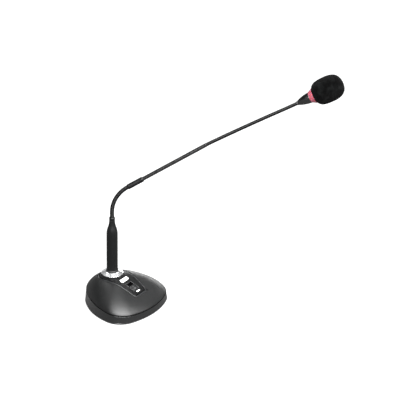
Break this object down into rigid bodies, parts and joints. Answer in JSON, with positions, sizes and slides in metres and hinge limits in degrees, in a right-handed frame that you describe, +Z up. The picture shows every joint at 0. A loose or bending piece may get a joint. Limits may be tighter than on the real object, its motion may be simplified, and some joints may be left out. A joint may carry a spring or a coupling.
{
  "type": "desktop microphone",
  "caption": "Gooseneck desk microphone: weighted domed base with slide switch and indicator, plug-in barrel, two flexible neck lengths, light ring and foam windscreen.",
  "frame": {"origin": "where the barrel's axis meets the table that the rubber feet stand on", "axes": "+Z up along the barrel, -Y towards the user's side with the switch, +X to the user's right when facing -Y from behind"},
  "size_m": [0.3044, 0.3672, 0.4199],
  "materials": {
    "cover": "satin moulded",
    "panel": "fine textured",
    "plate": "blank pale plate",
    "slider": "satin",
    "lens": "clear lens",
    "board": "circuit board",
    "switch": "plated",
    "screws": "zinc plated",
    "chrome": "polished",
    "black_plastic": "moulded",
    "contacts": "plated",
    "iron": "painted",
    "steel_plate": "powder coated",
    "rubber": "soft",
    "barrel_metal": "satin lacquer",
    "neck_metal": "black lacquer",
    "cone_metal": "gloss lacquer",
    "red_ring": "translucent red",
    "capsule_steel": "mesh and can",
    "foam": "open-cell foam"
  },
  "bodies": {
    "base": {"top_cover": "cover", "control_panel": "panel", "nameplate": "plate", "switch_frame": "panel", "indicator_lens": "lens", "switch_board": "board", "switch_body": "switch", "board_screws": "screws", "trim_ring": "chrome", "socket_housing": "black_plastic", "socket_insert": "black_plastic", "socket_contacts": "contacts", "lower_housing": "cover", "ballast_weight": "iron", "ballast_screws": "screws", "bottom_plate": "steel_plate", "bottom_screws": "screws", "rubber_feet": "rubber", "output_shell": "steel_plate", "output_insert": "black_plastic", "output_pins": "contacts"},
    "slider": {"switch_slider": "slider"},
    "stem": {"barrel": "barrel_metal", "barrel_foot": "black_plastic", "barrel_collar": "barrel_metal", "plug_insert": "black_plastic", "plug_pins": "contacts"},
    "neck_root": {"lower_neck_root": "neck_metal"},
    "lower_1": {"lower_link_1": "neck_metal"},
    "lower_2": {"lower_link_2": "neck_metal"},
    "lower_3": {"lower_link_3": "neck_metal"},
    "arm": {"lower_neck_end": "neck_metal", "neck_sleeve": "neck_metal", "neck_tube": "neck_metal", "upper_neck_root": "neck_metal"},
    "upper_1": {"upper_link_1": "neck_metal"},
    "upper_2": {"upper_link_2": "neck_metal"},
    "upper_3": {"upper_link_3": "neck_metal"},
    "upper_4": {"upper_link_4": "neck_metal"},
    "upper_5": {"upper_link_5": "neck_metal"},
    "upper_6": {"upper_link_6": "neck_metal"},
    "upper_7": {"upper_link_7": "neck_metal"},
    "head": {"upper_neck_end": "neck_metal", "head_cone": "cone_metal", "light_ring": "red_ring", "light_board": "board", "capsule_holder": "capsule_steel", "capsule": "capsule_steel", "capsule_grille": "capsule_steel"},
    "windscreen": {"windscreen": "foam"}
  },
  "joints": [
    {"name": "switch_slide", "type": "slide", "parent": "base", "child": "slider", "axis": [0, 0.9241, 0.3823], "range_m": [0, 0.0055]},
    {"name": "barrel_unplug", "type": "slide", "parent": "base", "child": "stem", "axis": [0, 0, 1], "range_m": [0, 0.02]},
    {"name": "neck_swivel", "type": "hinge", "parent": "stem", "child": "neck_root", "pos_m": [0, 0, 0.157], "axis": [0, 0, 1], "range_deg": [-180, 180]},
    {"name": "lower_bend_1", "type": "hinge", "parent": "neck_root", "child": "lower_1", "pos_m": [0, 0, 0.17349], "axis": [0.8192, 0.5736, 0], "range_deg": [-14.75, 5]},
    {"name": "lower_bend_2", "type": "hinge", "parent": "lower_1", "child": "lower_2", "pos_m": [0.00204, -0.00292, 0.18701], "axis": [0.8192, 0.5736, 0], "range_deg": [-14.75, 5]},
    {"name": "lower_bend_3", "type": "hinge", "parent": "lower_2", "child": "lower_3", "pos_m": [0.00599, -0.00855, 0.19917], "axis": [0.8192, 0.5736, 0], "range_deg": [-14.75, 5]},
    {"name": "lower_bend", "type": "hinge", "parent": "lower_3", "child": "arm", "pos_m": [0.01158, -0.01654, 0.20919], "axis": [0.8192, 0.5736, 0], "range_deg": [-14.75, 5]},
    {"name": "upper_bend_1", "type": "hinge", "parent": "arm", "child": "upper_1", "pos_m": [0.09246, -0.13204, 0.29391], "axis": [0.8192, 0.5736, 0], "range_deg": [-5.5, 5.5]},
    {"name": "upper_bend_2", "type": "hinge", "parent": "upper_1", "child": "upper_2", "pos_m": [0.10318, -0.14736, 0.30373], "axis": [0.8192, 0.5736, 0], "range_deg": [-5.5, 5.5]},
    {"name": "upper_bend_3", "type": "hinge", "parent": "upper_2", "child": "upper_3", "pos_m": [0.11394, -0.16273, 0.31345], "axis": [0.8192, 0.5736, 0], "range_deg": [-5.5, 5.5]},
    {"name": "upper_bend_4", "type": "hinge", "parent": "upper_3", "child": "upper_4", "pos_m": [0.12473, -0.17813, 0.32307], "axis": [0.8192, 0.5736, 0], "range_deg": [-5.5, 5.5]},
    {"name": "upper_bend_5", "type": "hinge", "parent": "upper_4", "child": "upper_5", "pos_m": [0.13554, -0.19358, 0.33259], "axis": [0.8192, 0.5736, 0], "range_deg": [-5.5, 5.5]},
    {"name": "upper_bend_6", "type": "hinge", "parent": "upper_5", "child": "upper_6", "pos_m": [0.14639, -0.20906, 0.34202], "axis": [0.8192, 0.5736, 0], "range_deg": [-5.5, 5.5]},
    {"name": "upper_bend_7", "type": "hinge", "parent": "upper_6", "child": "upper_7", "pos_m": [0.15726, -0.22459, 0.35135], "axis": [0.8192, 0.5736, 0], "range_deg": [-5.5, 5.5]},
    {"name": "upper_bend", "type": "hinge", "parent": "upper_7", "child": "head", "pos_m": [0.16816, -0.24016, 0.36057], "axis": [0.8192, 0.5736, 0], "range_deg": [-5.5, 5.5]},
    {"name": "windscreen_pull", "type": "slide", "parent": "head", "child": "windscreen", "axis": [0.5106, -0.7292, 0.4555], "range_m": [0, 0.035]}
  ],
  "couplings": [
    {"joint": "lower_bend_1", "follows": "lower_bend", "ratio": 1},
    {"joint": "lower_bend_2", "follows": "lower_bend", "ratio": 1},
    {"joint": "lower_bend_3", "follows": "lower_bend", "ratio": 1},
    {"joint": "upper_bend_1", "follows": "upper_bend", "ratio": 1},
    {"joint": "upper_bend_2", "follows": "upper_bend", "ratio": 1},
    {"joint": "upper_bend_3", "follows": "upper_bend", "ratio": 1},
    {"joint": "upper_bend_4", "follows": "upper_bend", "ratio": 1},
    {"joint": "upper_bend_5", "follows": "upper_bend", "ratio": 1},
    {"joint": "upper_bend_6", "follows": "upper_bend", "ratio": 1},
    {"joint": "upper_bend_7", "follows": "upper_bend", "ratio": 1}
  ]
}
